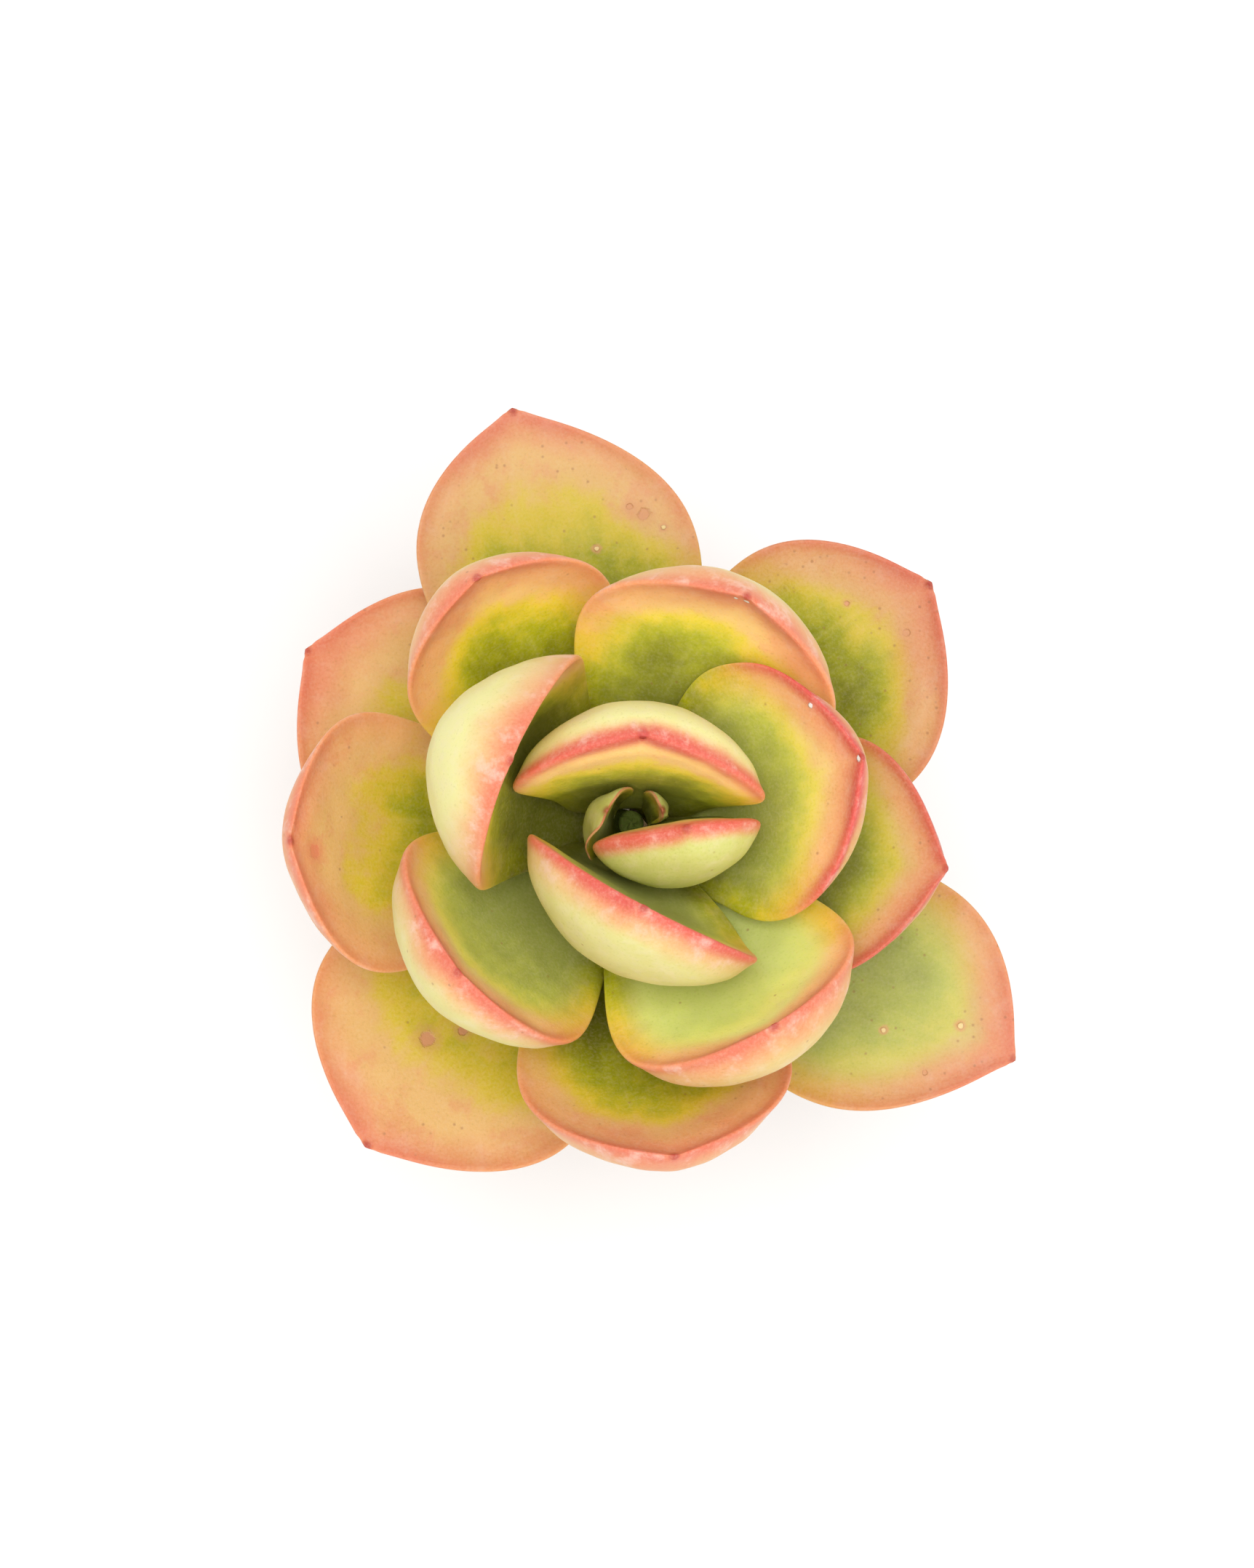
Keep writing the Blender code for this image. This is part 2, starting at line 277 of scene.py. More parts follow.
def ringsOf(node):
    # the cage as rings from the leaf's base to its tip; the tip is found first, as the highest and
    # farthest pole
    around, last = leafCage["around"], leafCage["rings"]
    body = bmesh.new()
    body.from_mesh(node.data)
    bmesh.ops.remove_doubles(body, verts=body.verts, dist=leafCage["merge"])
    poles = [vertex for vertex in body.verts if len(vertex.link_edges) == around]
    tip = max(poles, key=lambda vertex: vertex.co.z + (vertex.co - heart).xy.length)
    level = {tip: 0}
    front = [tip]
    while front:
        found = []
        for vertex in front:
            for edge in vertex.link_edges:
                other = edge.other_vert(vertex)
                if other not in level:
                    level[other] = level[vertex] + 1
                    found.append(other)
        front = found
    rings = [[tip.co.copy()]]
    for index in range(1, last):
        start = next(vertex for vertex in body.verts if level[vertex] == index)
        ring, before = [start], None
        while len(ring) < around:
            steps = [edge.other_vert(ring[-1]) for edge in ring[-1].link_edges]
            steps = [other for other in steps if level[other] == index and other is not before]
            before = ring[-1]
            ring.append(steps[0])
        rings.append([vertex.co.copy() for vertex in ring])
    rings.append([next(vertex for vertex in body.verts if level[vertex] == last).co.copy()])
    body.free()
    return lineUp(rings[::-1])


def lineUp(rings):
    # the middle ring starts at a margin and runs over the upper face, and the others follow it
    around = leafCage["around"]
    half = around // 2
    middle = len(rings) // 2
    ring = rings[middle]
    first = max(range(half), key=lambda k: (ring[k] - ring[k + half]).length)
    ring = ring[first:] + ring[:first]
    centre = sum(ring, Vector()) / around
    outward = Vector((centre.x - heart.x, centre.y - heart.y, 0)).normalized()
    upperSide = Vector((0, 0, 1)) - outward
    if (ring[around // 4] - ring[-around // 4]).dot(upperSide) < 0:
        ring = ring[:1] + ring[:0:-1]
    rings[middle] = ring
    for step, order in ((1, range(middle + 1, len(rings) - 1)), (-1, range(middle - 1, 0, -1))):
        for index in order:
            rings[index] = bestTurn(rings[index - step], rings[index])
    return rings


def bestTurn(guide, ring):
    # this ring's points, turned and ordered to match the next ring's
    count = len(ring)

    def shape(points):
        centre = sum(points, Vector()) / count
        size = sum((point - centre).length for point in points)
        return [(point - centre) / size for point in points]

    goal = shape(guide)
    choices = []
    for direction in (ring, ring[::-1]):
        for shift in range(count):
            turned = direction[shift:] + direction[:shift]
            error = sum((a - b).length_squared for a, b in zip(goal, shape(turned)))
            choices.append((error, turned))
    return min(choices, key=lambda choice: choice[0])[1]


def makeLeaf(nodeName):
    around, last = leafCage["around"], leafCage["rings"]
    rings = ringsOf(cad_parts[nodeName])
    deselectAll()
    bpy.ops.mesh.primitive_uv_sphere_add(segments=around, ring_count=last, radius=1)
    leaf = bpy.context.object
    leaf.name = nodeName + "_skin"
    mesh = leaf.data
    mesh.name = leaf.name
    alongOf, upperOf, sideOf = [], [], []
    for vertex in mesh.vertices:
        index = round(math.acos(max(-1, min(1, vertex.co.z))) / math.pi * last)
        turn = round(math.atan2(vertex.co.y, vertex.co.x) / (2 * math.pi) * around) % around
        atPole = index in (0, last)
        vertex.co = rings[index][0 if atPole else turn]
        angle = 2 * math.pi * turn / around
        alongOf.append((1 - math.cos(math.pi * index / last)) / 2)
        upperOf.append(0 if atPole else math.sin(angle))
        sideOf.append(0 if atPole else math.cos(angle))
    for name, values in (("along", alongOf), ("upper", upperOf), ("side", sideOf)):
        layer = mesh.attributes.new(name, "FLOAT", "POINT")
        layer.data.foreach_set("value", values)
    mesh.uv_layers.remove(mesh.uv_layers[0])
    creases = mesh.attributes.new("crease_edge", "FLOAT", "EDGE")
    for edge in mesh.edges:
        ends = [(alongOf[k], upperOf[k]) for k in edge.vertices]
        onEdge = all(abs(upper) < 0.01 for along, upper in ends)
        creased = onEdge and min(ends)[0] > leafCage["creaseFrom"]
        creases.data[edge.index].value = leafCage["edgeCrease"] if creased else 0
    makeActive(leaf)
    bpy.ops.object.mode_set(mode="EDIT")
    bpy.ops.mesh.select_all(action="SELECT")
    bpy.ops.mesh.normals_make_consistent(inside=False)
    bpy.ops.object.mode_set(mode="OBJECT")
    smoothing = leafCage["smoothing"]
    applyModifier(leaf, "SUBSURF", levels=smoothing, render_levels=smoothing)
    addLeafRelief(leaf)
    makeActive(leaf)
    bpy.ops.object.shade_smooth()
    return leaf


def edgeLines(points, upper, side, along):
    # the points that lie on the two margins, ready to be searched
    onEdge = (np.abs(upper) < 0.02) & (np.abs(side) > 0.5) | (along > 0.999)
    tree = kdtree.KDTree(int(onEdge.sum()))
    for index, point in enumerate(points[onEdge]):
        tree.insert(point, index)
    tree.balance()
    return tree


def readValues(mesh, name):
    values = np.empty(len(mesh.vertices), np.float32)
    mesh.attributes[name].data.foreach_get("value", values)
    return values


def addLeafRelief(leaf):
    mesh = leaf.data
    points, normals = readPoints(mesh), readNormals(mesh)
    along, upper, side = (readValues(mesh, name) for name in ("along", "upper", "side"))
    tree = edgeLines(points, upper, side, along)
    rim = np.array([tree.find(point)[2] for point in points.tolist()])
    tipPoint = points[int(along.argmax())]
    tip = np.linalg.norm(points - tipPoint, axis=1)
    offset = Vector((random.uniform(0, 50), random.uniform(0, 50), random.uniform(0, 50)))
    relief = leafRelief
    outer = fade(relief["edgeFrom"], relief["edgeFull"], along)
    height = relief["ridge"] * np.exp(-(rim / relief["ridgeWidth"]) ** 2) * outer
    fromGroove = (rim - relief["grooveAt"]) / relief["grooveWidth"]
    height -= relief["groove"] * np.exp(-fromGroove ** 2) * outer
    inside = fade(0, relief["swellInside"], rim)
    inside *= fade(relief["swellFrom"], relief["swellFull"], along)
    height += relief["swell"] * noiseAt(points, relief["swellSize"], offset) * inside
    ripple = noiseAt(points, relief["rippleSize"], offset)
    height += relief["ripple"] * ripple * fade(0, relief["rippleInside"], rim)
    moved = points + normals * height[:, None]
    back = points[tip > relief["pointBack"]]
    order = np.linalg.norm(back - tipPoint, axis=1).argsort()
    nearest = back[order[:relief["pointSamples"]]].mean(0)
    ahead = tipPoint - nearest
    ahead /= np.linalg.norm(ahead)
    moved += ahead * (relief["point"] * np.exp(-((tip / relief["pointWidth"]) ** 2)))[:, None]
    writePoints(mesh, moved)
    for name, numbers in (("rim", rim / mm), ("tip", tip / mm)):
        layer = mesh.attributes.new(name, "FLOAT", "POINT")
        layer.data.foreach_set("value", numbers.astype(np.float32))


leafColours = {
    # the darkest green is the base green with painted shade in it, where the inner leaves shade the
    # base
    "shadedGreen": (0.17, 0.175, 0.002), "green": (0.40, 0.40, 0.008), "yellow": (0.70, 0.53, 0.035),
    "peach": (0.76, 0.46, 0.165), "coral": (0.74, 0.255, 0.13), "line": (0.64, 0.085, 0.07),
    # the fresh green is partly the young leaf's own colour and partly a painted highlight where
    # light shines through near the margin
    "freshAndSheen": (0.58, 0.64, 0.21), "pale": (0.52, 0.56, 0.13), "cream": (0.78, 0.73, 0.31),
    # the pale colour beside the margins is a painted highlight along the leaf edges
    "bloom": (0.80, 0.68, 0.48), "rimHighlight": (0.84, 0.60, 0.50), "point": (0.40, 0.045, 0.035),
    "cork": (0.34, 0.14, 0.06), "grit": (0.88, 0.84, 0.80), "tan": (0.74, 0.56, 0.26),
    "rust": (0.60, 0.29, 0.14),
}


# sizes of the patterns, and how strong each of them is
leafPattern = {
    "broadSize": 7 * mm, "mediumSize": 1.6 * mm, "fineSize": 0.28 * mm, "cloudSize": 3.6 * mm,
    "rimHighlightSize": 2.2 * mm, "speckSize": 0.75 * mm, "fibreSize": 0.10, "fibreStretch": (1, 0.6, 0.2),
    "sway": 0.40, "mottle": 0.22, "fibre": 0.018, "cloud": 0.42, "bloom": 0.30, "rimHighlight": 0.55,
    "powder": 0.14, "grain": 0.16, "fibreBloom": 0.07, "speck": 0.50,
}

# where along the turning of the skin each colour begins and is full
leafTurns = {"green": (0.46, 0.74), "yellow": (0.64, 0.88), "peach": (0.82, 1.04),
             "cream": (0.30, 0.80)}

# distances from the margin or the tip, in mm
leafReach = {"ripeRim": 8.0, "freshAndSheenRim": (0.8, 4.0), "blushTip": (3.0, 14.0), "line": 1.5,
             "point": (0.1, 0.8)}


def makeLeafPaint():
    colours, pattern, turns, reach = leafColours, leafPattern, leafTurns, leafReach
    group, given, result = newGroup(
        "leafPaint",
        (("Vector", "Vector"), ("Ripe", "Float"), ("Rim Width", "Float"), ("Fresh And Sheen", "Float"),
         ("Speckle", "Float"), ("Line", "Float"), ("Tan", "Float"), ("Painted Light", "Float"),
         ("Shade Tone", "Float")),
        (("Color", "Color"), ("Roughness", "Float"), ("Height", "Float")),
    )
    vector, freshAndSheenShare = given.outputs["Vector"], given.outputs["Fresh And Sheen"]
    broad = noiseNode(group, vector, pattern["broadSize"], 2)
    medium = noiseNode(group, vector, pattern["mediumSize"], 4, 0.6)
    fine = noiseNode(group, vector, pattern["fineSize"], 3, 0.6)
    along, rim = attribute(group, "along"), attribute(group, "rim")
    upper, tip = attribute(group, "upper"), attribute(group, "tip")

    # faint fibres that run from the base to the tip
    fibreSpace = group.nodes.new("ShaderNodeCombineXYZ")
    for socket, value in zip(fibreSpace.inputs, (attribute(group, "side"), upper, along)):
        group.links.new(value, socket)
    fibre = noiseNode(group, fibreSpace.outputs[0], pattern["fibreSize"], 3, 0.6,
                      stretch=pattern["fibreStretch"])

    # how far the sun has turned the skin: painted shade at the base, where the inner leaves shade
    # it, then green, yellow and peach
    sway = product(group, calculate(group, "SUBTRACT", broad, 0.5), pattern["sway"])
    mottle = product(group, calculate(group, "SUBTRACT", medium, 0.5), pattern["mottle"])
    turned = total(
        group, along, sway, mottle,
        between(group, rim, 0.0, reach["ripeRim"], 0.34, 0.0),
        given.outputs["Ripe"],
        between(group, fibre, 0.25, 0.75, -pattern["fibre"], pattern["fibre"]),
    )
    # the base of the upper face starts from painted shade, where the inner leaves shade it
    upperFace = colours["shadedGreen"]
    for name in ("green", "yellow", "peach"):
        share = between(group, turned, *turns[name])
        upperFace = blendColour(group, share, upperFace, colours[name])
    cloud = noiseNode(group, vector, pattern["cloudSize"], 5, 0.62)
    flushed = product(group, between(group, cloud, 0.50, 0.70, 0.0, pattern["cloud"]),
                      between(group, turned, 0.80, 1.05))
    upperFace = blendColour(group, flushed, upperFace, colours["coral"])
    # pale green band near the margin: partly the leaf's own young colour, partly a painted
    # highlight of light shining through
    freshAndSheen = product(group, freshAndSheenShare, between(group, rim, *reach["freshAndSheenRim"]))
    upperFace = blendColour(group, freshAndSheen, upperFace, colours["freshAndSheen"])
    # painted light: the upper face brightened where it sits in shade
    upperFace = blendColour(group, 1.0, upperFace, given.outputs["Painted Light"], "MULTIPLY")

    # the lower face is pale, greener towards the base
    lowerTurned = total(group, along, mottle, sway)
    creamy = between(group, lowerTurned, *turns["cream"])
    lowerFace = blendColour(group, creamy, colours["pale"], colours["cream"])
    lowerFace = blendColour(group, product(group, freshAndSheenShare, 0.9), lowerFace, colours["pale"])
    tanned = product(group, given.outputs["Tan"], between(group, lowerTurned, 0.2, 0.8, 0.2, 1.0))
    lowerFace = blendColour(group, tanned, lowerFace, colours["peach"])
    bloomShare = product(group, between(group, medium, 0.42, 0.75), pattern["bloom"])
    lowerFace = blendColour(group, bloomShare, lowerFace, colours["bloom"])
    face = blendColour(group, between(group, upper, -0.10, 0.12), lowerFace, upperFace)

    # blush along the margins, strongest near the tip, then the soft red line
    rimShare = total(group, calculate(group, "DIVIDE", rim, given.outputs["Rim Width"]),
                     product(group, sway, 1.6), product(group, mottle, 1.2))
    blush = product(
        group, between(group, rimShare, 0.1, 1.0, 1.0, 0.0), between(group, along, 0.35, 0.75),
        between(group, tip, *reach["blushTip"], 1.0, 0.45),
    )
    face = blendColour(group, blush, face, colours["coral"])
    wander = total(group, product(group, sway, 3.0), rim)
    line = product(
        group, between(group, wander, 0.0, reach["line"], 1.0, 0.0),
        between(group, along, 0.45, 0.8), given.outputs["Line"],
    )
    face = blendColour(group, line, face, colours["line"])

    # painted highlights beside the margins, then the red point
    rimHighlightNoise = noiseNode(group, vector, pattern["rimHighlightSize"], 5, 0.65)
    rimHighlight = product(
        group, between(group, rimHighlightNoise, 0.48, 0.72, 0.0, pattern["rimHighlight"]),
        between(group, rimShare, 0.3, 0.9, 1.0, 0.0), between(group, upper, -0.05, 0.1, 1.0, 0.25),
    )
    face = blendColour(group, rimHighlight, face, colours["rimHighlight"])
    ragged = total(group, tip, product(group, mottle, 4.0))
    pointShare = between(group, ragged, *reach["point"], 0.85, 0.0)
    face = blendColour(group, pointShare, face, colours["point"])

    # powdery grain and scattered brown specks
    powder = between(group, fine, 0.40, 0.75, 0.0, pattern["powder"])
    face = blendColour(group, powder, face, colours["bloom"])
    grain = between(group, fine, 0.45, 0.25, 0.0, pattern["grain"])
    face = blendColour(group, grain, face, colours["shadedGreen"])
    fibreBloom = between(group, fibre, 0.5, 0.8, 0.0, pattern["fibreBloom"])
    face = blendColour(group, fibreBloom, face, colours["bloom"])
    speckCell, speckTone = cellNode(group, vector, pattern["speckSize"])
    speckSeed = group.nodes.new("ShaderNodeSeparateColor")
    group.links.new(speckTone, speckSeed.inputs[0])
    often = product(group, given.outputs["Speckle"], between(group, broad, 0.35, 0.65, 0.3, 1.7))
    rare = calculate(group, "LESS_THAN", speckSeed.outputs[0], often)
    speck = product(group, between(group, speckCell, 0.05, 0.30, pattern["speck"], 0.0), rare)
    face = blendColour(group, speck, face, colours["cork"])
    # painted shade: the whole leaf darkened, most on the outer and bud leaves, partly the duller
    # colour of older leaves
    face = blendColour(group, 1.0, face, given.outputs["Shade Tone"], "MULTIPLY")
    group.links.new(face, result.inputs["Color"])

    group.links.new(between(group, fine, 0.3, 0.7, 0.42, 0.60), result.inputs["Roughness"])
    group.links.new(total(group, product(group, fine, 0.5), medium), result.inputs["Height"])
    return group


leafPaint = makeLeafPaint()


def makeSpotPaint():
    # a round, ragged mark: a core and a softer halo round it
    group, given, result = newGroup(
        "spotPaint",
        (("Vector", "Vector"), ("Under", "Color"), ("Centre", "Vector"), ("Radius", "Float"),
         ("Core", "Color"), ("Halo", "Color"), ("Halo Share", "Float")),
        (("Color", "Color"), ("Mask", "Float")),
    )
    gap = group.nodes.new("ShaderNodeVectorMath")
    gap.operation = "DISTANCE"
    group.links.new(given.outputs["Vector"], gap.inputs[0])
    group.links.new(given.outputs["Centre"], gap.inputs[1])
    ragged = noiseNode(group, given.outputs["Vector"], 0.5 * mm, 3, 0.7)
    wobble = total(group, product(group, ragged, 1.2), 0.4)
    reach = product(group, gap.outputs["Value"], wobble)
    share = calculate(group, "DIVIDE", reach, given.outputs["Radius"])
    halo = product(group, between(group, share, 0.8, 2.4, 1.0, 0.0), given.outputs["Halo Share"])
    face = blendColour(group, halo, given.outputs["Under"], given.outputs["Halo"])
    core = between(group, share, 0.6, 1.0, 1.0, 0.0)
    face = blendColour(group, core, face, given.outputs["Core"])
    group.links.new(face, result.inputs["Color"])
    group.links.new(core, result.inputs["Mask"])
    return group


spotPaint = makeSpotPaint()

# ripe is added to the turning of the upper face, below 0 for a greener leaf; rimWidth is in mm;
# the fresh share is the pale green cast, partly the young leaf's own colour and partly a painted
# highlight where light shines through; line is the red margin and tan the peach cast of the lower
# face; the light share is painted light that brightens the upper face where it sits in shade and
# the tone painted shade that darkens the whole leaf, partly the duller colour of older leaves;
# a spot is along, across, radius in mm, kind
plainLeaf = {"shadeTone": 1.0, "paintedLight": 1.0, "ripe": -0.05, "rimWidth": 5.0, "freshAndSheenShare": 0.0,
             "speckle": 0.02, "line": 0.4, "tan": 0.6, "spots": ()}

leafLooks = {
    "outer_leaf_1": {"shadeTone": 0.95, "ripe": 0.26, "rimWidth": 6.0, "speckle": 0.05, "line": 0.35,
                     "tan": 0.8},
    "outer_leaf_2": {"shadeTone": 0.88, "ripe": 0.21, "rimWidth": 4.5, "speckle": 0.05, "line": 0.25,
                     "spots": ((0.68, 0.15, 0.9, "scar"), (0.60, 0.0, 0.6, "scar"))},
    "outer_leaf_3": {"shadeTone": 0.84, "ripe": 0.05, "rimWidth": 4.0, "speckle": 0.09, "line": 0.25,
                     "spots": ((0.64, -0.28, 0.30, "bedded"), (0.70, -0.72, 0.7, "scar"),
                               (0.67, -0.78, 0.28, "bedded"), (0.73, -0.64, 0.4, "scar"))},
    "outer_leaf_4": {"shadeTone": 0.84, "ripe": -0.08, "rimWidth": 5.5, "freshAndSheenShare": 0.45,
                     "speckle": 0.16, "line": 0.25, "tan": 0.5,
                     "spots": ((0.72, 0.25, 0.28, "bedded"), (0.86, -0.10, 0.35, "bedded"),
                               (0.85, 0.55, 0.30, "scar"))},
    "outer_leaf_5": {"ripe": 0.19, "speckle": 0.05, "line": 0.3, "tan": 0.7,
                     "spots": ((0.90, 0.10, 0.9, "blotch"),)},
    "outer_leaf_6": {"shadeTone": 0.80, "ripe": -0.03, "rimWidth": 6.0, "speckle": 0.22, "line": 0.5,
                     "spots": ((0.88, -0.25, 0.45, "scar"), (0.80, 0.35, 0.30, "scar"))},
    "middle_leaf_1": {"shadeTone": 0.98, "ripe": 0.03, "rimWidth": 6.0, "speckle": 0.05, "line": 0.5},
    "middle_leaf_2": {"paintedLight": 1.35, "ripe": 0.05, "rimWidth": 5.5, "speckle": 0.03, "tan": 0.3},
    "middle_leaf_3": {"shadeTone": 0.88, "ripe": -0.12, "rimWidth": 4.5, "freshAndSheenShare": 0.2,
                      "speckle": 0.06, "line": 0.8, "tan": 0.5},
    "middle_leaf_4": {"paintedLight": 1.15, "rimWidth": 4.5, "freshAndSheenShare": 0.35, "line": 0.6, "tan": 0.15},
    "middle_leaf_5": {"paintedLight": 1.35, "ripe": 0.02, "freshAndSheenShare": 0.1, "tan": 0.2,
                      "spots": ((0.985, 0.1, 0.35, "grit"), (0.975, -0.3, 0.25, "grit"))},
    "inner_leaf_1": {"paintedLight": 1.35, "ripe": -0.06, "rimWidth": 4.5, "freshAndSheenShare": 0.7,
                     "speckle": 0.03, "line": 0.5, "tan": 0.7},
    "inner_leaf_2": {"freshAndSheenShare": 0.05, "speckle": 0.01, "tan": 0.0},
    "inner_leaf_3": {"paintedLight": 1.2, "ripe": -0.02, "rimWidth": 5.5, "freshAndSheenShare": 0.30, "line": 1.0,
                     "tan": 0.1, "spots": ((0.99, 0.0, 0.35, "grit"), (0.86, -0.80, 0.30, "grit"))},
    "inner_leaf_4": {"rimWidth": 4.0, "freshAndSheenShare": 0.4, "line": 0.9, "tan": 0.1},
    "heart_leaf_1": {"paintedLight": 1.5, "ripe": 0.02, "rimWidth": 2.2, "freshAndSheenShare": 0.1, "speckle": 0.01,
                     "line": 0.85, "tan": 0.0, "spots": ((0.995, 0.0, 0.40, "beak"),)},
    "heart_leaf_2": {"ripe": -0.12, "rimWidth": 1.8, "freshAndSheenShare": 0.8, "speckle": 0.01, "line": 0.8,
                     "tan": 0.0},
    "bud_leaf_1": {"shadeTone": 0.75, "ripe": -0.25, "rimWidth": 0.08, "freshAndSheenShare": 0.9, "speckle": 0.0,
                   "line": 0.0, "tan": 0.0},
    "bud_leaf_2": {"shadeTone": 0.75, "ripe": -0.25, "rimWidth": 0.08, "freshAndSheenShare": 0.9, "speckle": 0.0,
                   "line": 0.0, "tan": 0.0},
}
leafSlots = {"outer": "outer_leaf", "middle": "middle_leaf", "inner": "inner_leaf",
             "heart": "heart_leaf", "bud": "heart_leaf"}
leafSkin = {"Roughness": 0.5, "Specular IOR Level": 0.30, "Coat Weight": 0.04,
            "Coat Roughness": 0.35, "Subsurface Weight": 0.30, "Subsurface Scale": 1.6 * mm,
            "Subsurface Radius": (1.0, 0.75, 0.25)}
leafBump = {"depth": 0.07 * mm, "strength": 0.7}

# core and halo colour, how strong the halo is, and how far the core stands out
spotKinds = {
    "grit": ("grit", "cork", 0.0, 3.0), "bedded": ("tan", "rust", 0.8, 3.0),
    "scar": ("rust", "rust", 0.45, -2.0), "blotch": ("coral", "coral", 0.6, -0.5),
    "beak": ("point", "line", 0.6, 1.0),
}


def placeOnLeaf(leaf, along, across):
    # the point of the upper face that is this far along the leaf and this far from its middle line
    mesh = leaf.data
    missAcross = 0.4 * (readValues(mesh, "side") - across)
    miss = (readValues(mesh, "along") - along) ** 2 + missAcross ** 2
    miss[readValues(mesh, "upper") < 0] = 9  # never the lower face
    return tuple(mesh.vertices[int(miss.argmin())].co)


def makeLeafMaterial(name, look, leaf):
    material, tree, shader, coordinates = newMaterial(name + "_skin", leafSkin)
    paint = placeGroup(tree, leafPaint, {
        "Vector": coordinates, "Ripe": look["ripe"], "Rim Width": look["rimWidth"],
        "Fresh And Sheen": look["freshAndSheenShare"], "Speckle": look["speckle"], "Line": look["line"],
        "Tan": look["tan"], "Painted Light": look["paintedLight"], "Shade Tone": look["shadeTone"],
    })
    colour, height = paint.outputs["Color"], paint.outputs["Height"]
    for along, across, radius, kind in look["spots"]:
        core, halo, haloShare, lift = spotKinds[kind]
        spot = placeGroup(tree, spotPaint, {
            "Vector": coordinates, "Under": colour, "Centre": placeOnLeaf(leaf, along, across),
            "Radius": radius * mm, "Core": leafColours[core], "Halo": leafColours[halo],
            "Halo Share": haloShare,
        })
        colour = spot.outputs["Color"]
        height = total(tree, height, product(tree, spot.outputs["Mask"], lift))
    tree.links.new(colour, shader.inputs["Base Color"])
    tree.links.new(paint.outputs["Roughness"], shader.inputs["Roughness"])
    addBump(tree, shader, height, leafBump["depth"], leafBump["strength"])
    return material


for leafName, ownLook in leafLooks.items():
    leaf = makeLeaf(leafName)
    leafMaterial = makeLeafMaterial(leafName, {**plainLeaf, **ownLook}, leaf)
    putOn(leaf, leafMaterial, leafSlots[leafName.split("_")[0]], leafName)
print("leaves made")


# pot, soil and stem are turned again, finer, on the outlines of their own solids

# nearby is how close a point must be to the cut to belong to it
turnedParts = {"potSteps": 160, "soilSteps": 128, "stemSteps": 64, "pointGap": 0.7 * mm,
               "stemGap": 0.35 * mm, "merge": 0.002 * mm, "nearby": 0.003 * mm,
               "poleMerge": 0.004 * mm}


def sectionOf(node, axis):
    # the outline of a turned solid at its +X side, as points in order
    body = bmesh.new()
    body.from_mesh(node.data)
    nearby = turnedParts["nearby"]
    bmesh.ops.remove_doubles(body, verts=body.verts, dist=turnedParts["merge"])
    cut = [vertex for vertex in body.verts
           if abs(vertex.co.y - axis.y) < nearby and vertex.co.x > axis.x - nearby]
    inCut = set(cut)
    onAxis = [vertex for vertex in cut if abs(vertex.co.x - axis.x) < nearby]
    chain = [max(onAxis or cut, key=lambda vertex: vertex.co.z)]
    while True:
        beside = [edge.other_vert(chain[-1]) for edge in chain[-1].link_edges]
        steps = [vertex for vertex in beside if vertex in inCut and vertex not in chain]
        if not steps:
            break
        chain.append(steps[0])
    points = [vertex.co.copy() for vertex in chain]
    body.free()
    return points, not onAxis


def spread(points, closed, gap):
    # extra points along the long straight stretches
    ends = points[1:] + points[:1] if closed else points[1:]
    result = []
    for start, end in zip(points, ends):
        count = max(1, round((end - start).length / gap))
        result += [start.lerp(end, step / count) for step in range(count)]
    return result if closed else result + [points[-1]]


def turnSection(name, nodeName, steps, gap):
    # the solid's outline on a circle's points, spun round the solid's own axis
    low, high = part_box(nodeName)
    axis = Vector(((low.x + high.x) / 2, (low.y + high.y) / 2, 0))
    points, closed = sectionOf(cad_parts[nodeName], axis)
    points = spread(points, closed, gap)
    deselectAll()
    bpy.ops.mesh.primitive_circle_add(vertices=len(points), radius=1)
    piece = bpy.context.object
    piece.name = piece.data.name = name
    for vertex, point in zip(piece.data.vertices, points):
        vertex.co = point
    bpy.ops.object.mode_set(mode="EDIT")
    if not closed:
        bpy.ops.mesh.select_all(action="DESELECT")
        bpy.ops.object.mode_set(mode="OBJECT")
        last = len(points) - 1
        for edge in piece.data.edges:
            edge.select = set(edge.vertices) == {0, last}
        bpy.ops.object.mode_set(mode="EDIT")
        bpy.ops.mesh.select_mode(type="EDGE")
        bpy.ops.mesh.delete(type="EDGE")
        bpy.ops.mesh.select_mode(type="VERT")
    bpy.ops.mesh.select_all(action="SELECT")
    bpy.ops.mesh.spin(steps=steps, angle=2 * math.pi, center=axis, axis=(0, 0, 1))
    bpy.ops.mesh.select_all(action="SELECT")
    bpy.ops.mesh.remove_doubles(threshold=turnedParts["poleMerge"])
    bpy.ops.mesh.select_all(action="SELECT")
    bpy.ops.mesh.normals_make_consistent(inside=False)
    bpy.ops.object.mode_set(mode="OBJECT")
    bpy.ops.object.shade_smooth()
    return piece


potRelief = {"wheelRing": 0.035 * mm, "ringGap": 1.7 * mm, "uneven": 0.18 * mm,
             "unevenSize": 14 * mm, "pit": 0.05 * mm, "pitSize": 1.8 * mm, "flatFrom": 0.6,
             "footKeep": (0.3 * mm, 2 * mm)}
potColours = {"clay": (0.47, 0.185, 0.085), "light": (0.60, 0.29, 0.16), "dark": (0.30, 0.10, 0.05),
              "salt": (0.72, 0.62, 0.52)}
# salt rises from the foot, between saltFull and saltEnd, and whitens the rim
potPattern = {"broadSize": 18 * mm, "mediumSize": 3 * mm, "grainSize": 0.35 * mm,
              "streakSize": 2.2 * mm, "streakStretch": (1, 1, 7), "saltWander": 16 * mm,
              "saltFull": 8 * mm, "saltEnd": 26 * mm, "rimSalt": 2.5 * mm}
potClay = {"Roughness": 0.85, "Specular IOR Level": 0.25}
potBump = {"depth": 0.12 * mm, "strength": 0.8}


